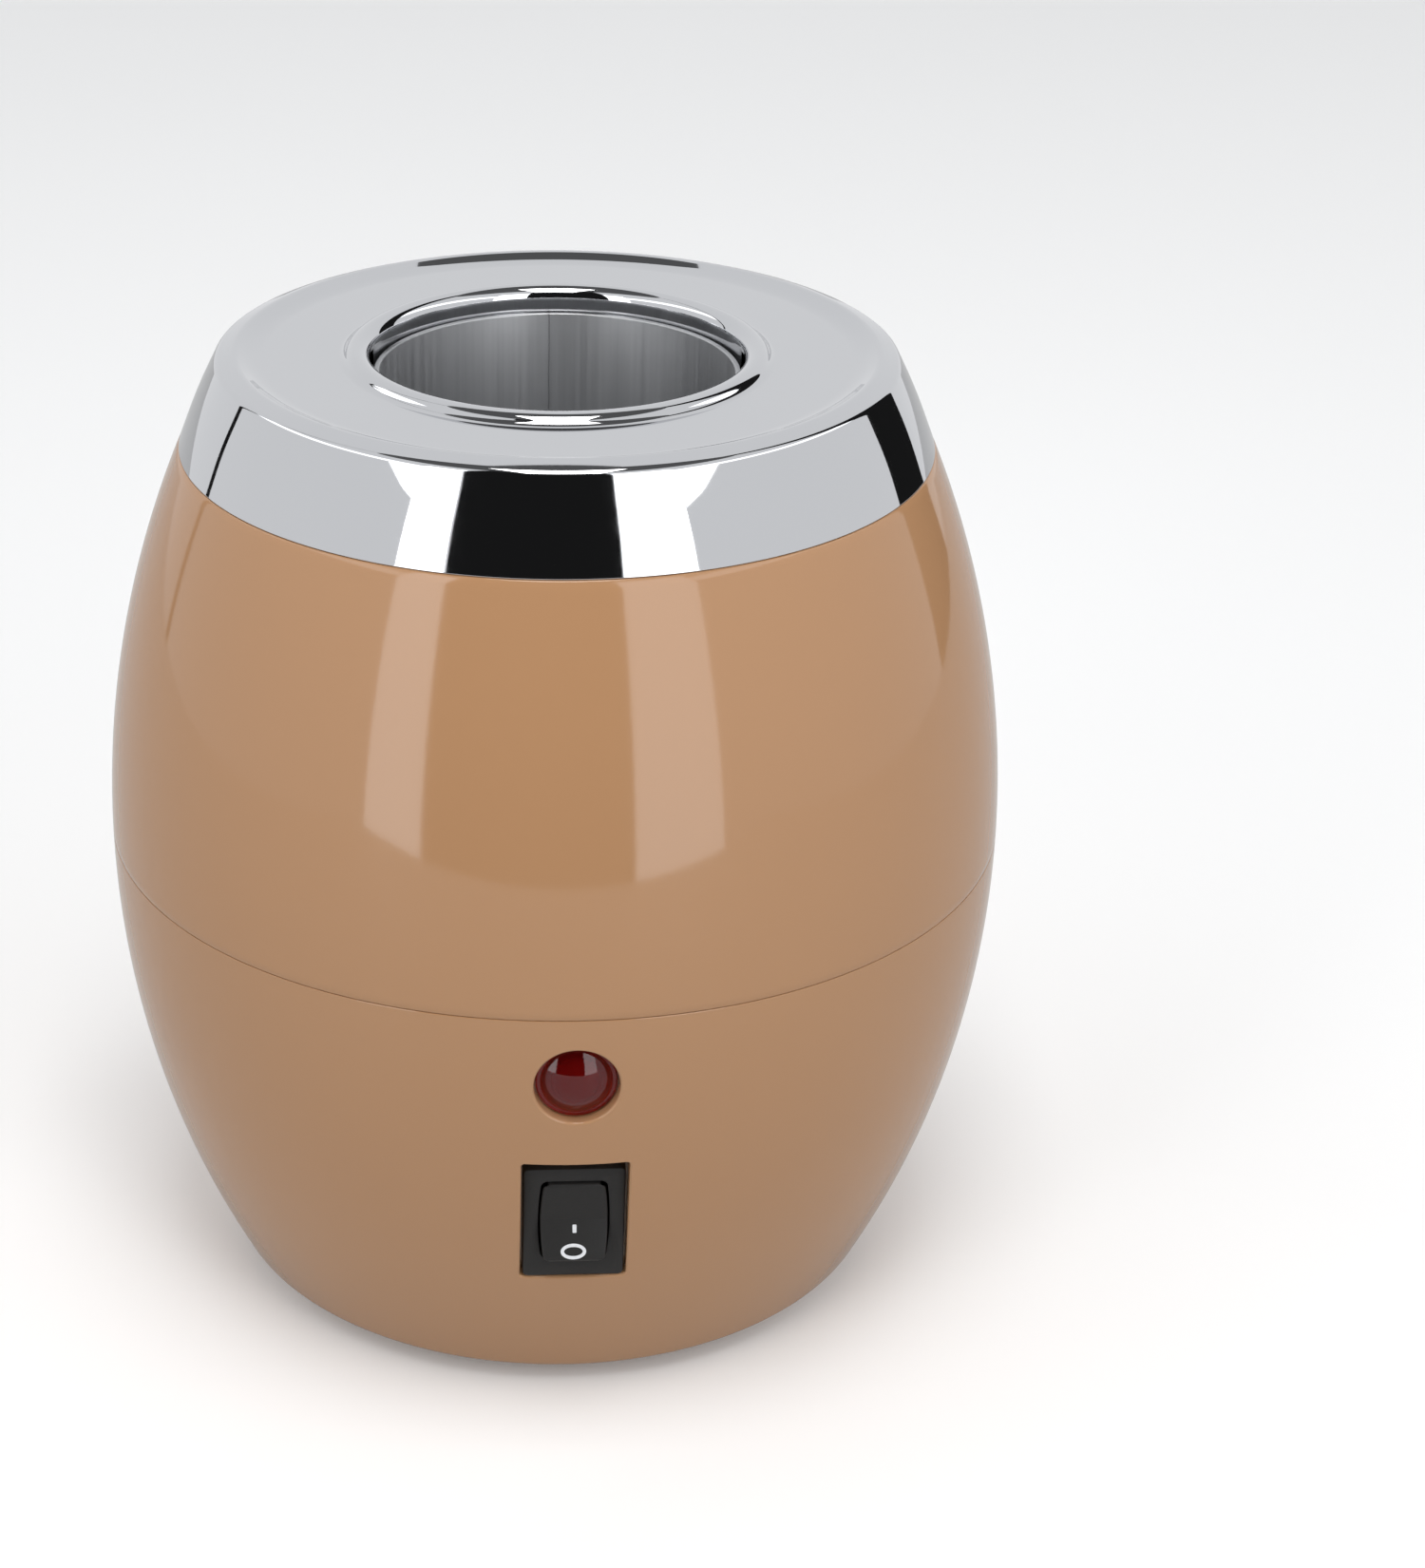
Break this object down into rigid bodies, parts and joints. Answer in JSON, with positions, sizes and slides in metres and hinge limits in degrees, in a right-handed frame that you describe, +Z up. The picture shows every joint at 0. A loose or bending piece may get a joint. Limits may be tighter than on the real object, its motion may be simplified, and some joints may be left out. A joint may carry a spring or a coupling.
{
  "type": "wax warmer pot",
  "caption": "Barrel-shaped electric warmer with a chromed top cap round an open heated well, a rocker switch and a pilot lamp.",
  "frame": {"origin": "on the supporting surface, under the pot's axis, at the centre of the bounding box's bottom", "axes": "+Z up along the pot's axis, -Y towards the switch and lamp, +Y towards the cord gland, +X to the right seen from the switch side"},
  "size_m": [0.142, 0.142, 0.1534],
  "materials": {
    "tan_shell": "glossy moulded plastic, tan",
    "chrome_cap": "mirror-bright chrome plating",
    "aluminium_well": "satin, faint vertical drawing lines",
    "zinc_steel": "zinc-plated",
    "black_plastic": "fine matt texture",
    "black_rubber": "matt",
    "red_lens": "clear dark red, polished",
    "white_plastic": "smooth",
    "bulb_glass": "clear",
    "brass_contacts": "bright stamped",
    "glass_fibre": "woven glass-fibre sleeve",
    "mica_steel": "steel-jacketed mica band",
    "ceramic_body": "unglazed",
    "wire_brown": "smooth sleeving",
    "wire_blue": "smooth sleeving"
  },
  "bodies": {
    "pot": {"band_nut_1": "zinc_steel", "band_nut_2": "zinc_steel", "band_screw_1": "zinc_steel", "band_screw_2": "zinc_steel", "base_plate": "black_plastic", "base_screw_1": "zinc_steel", "base_screw_2": "zinc_steel", "base_screw_3": "zinc_steel", "base_screw_4": "zinc_steel", "bracket_screw_1": "zinc_steel", "bracket_screw_2": "zinc_steel", "cap_screw_1": "zinc_steel", "cap_screw_2": "zinc_steel", "cap_screw_3": "zinc_steel", "cord_gland": "black_plastic", "gland_nut": "black_plastic", "heater_band": "mica_steel", "heating_sleeve": "aluminium_well", "insulation_wrap": "glass_fibre", "lamp_body": "white_plastic", "lamp_lens": "red_lens", "lamp_push_nut": "zinc_steel", "lower_shell": "tan_shell", "neon_bulb": "bulb_glass", "rubber_foot_1": "black_rubber", "rubber_foot_2": "black_rubber", "rubber_foot_3": "black_rubber", "rubber_foot_4": "black_rubber", "switch_housing": "black_plastic", "switch_terminal_1": "brass_contacts", "switch_terminal_2": "brass_contacts", "terminal_block": "white_plastic", "thermal_fuse": "zinc_steel", "thermostat": "ceramic_body", "thermostat_clip": "zinc_steel", "top_cap": "chrome_cap", "upper_shell": "tan_shell", "well_bracket": "zinc_steel", "well_floor": "aluminium_well", "well_screw": "zinc_steel", "wire_block_to_switch": "wire_brown", "wire_fuse_to_heater": "wire_brown", "wire_heater_to_block": "wire_blue", "wire_switch_to_thermostat": "wire_brown", "wire_thermostat_to_fuse": "wire_brown"},
    "rocker": {"switch_rocker": "black_plastic", "switch_plunger": "brass_contacts", "plunger_spring": "zinc_steel"},
    "contact": {"contact_blade": "brass_contacts"}
  },
  "joints": [
    {"name": "rocker_rock", "type": "hinge", "parent": "pot", "child": "rocker", "pos_m": [0, -0.06277, 0.03817], "axis": [1, 0, 0], "range_deg": [0, 22]},
    {"name": "contact_rock", "type": "hinge", "parent": "pot", "child": "contact", "pos_m": [0, -0.05595, 0.03919], "axis": [1, 0, 0], "range_deg": [-14, 0]}
  ],
  "couplings": [
    {"joint": "contact_rock", "follows": "rocker_rock", "ratio": -0.63636}
  ]
}
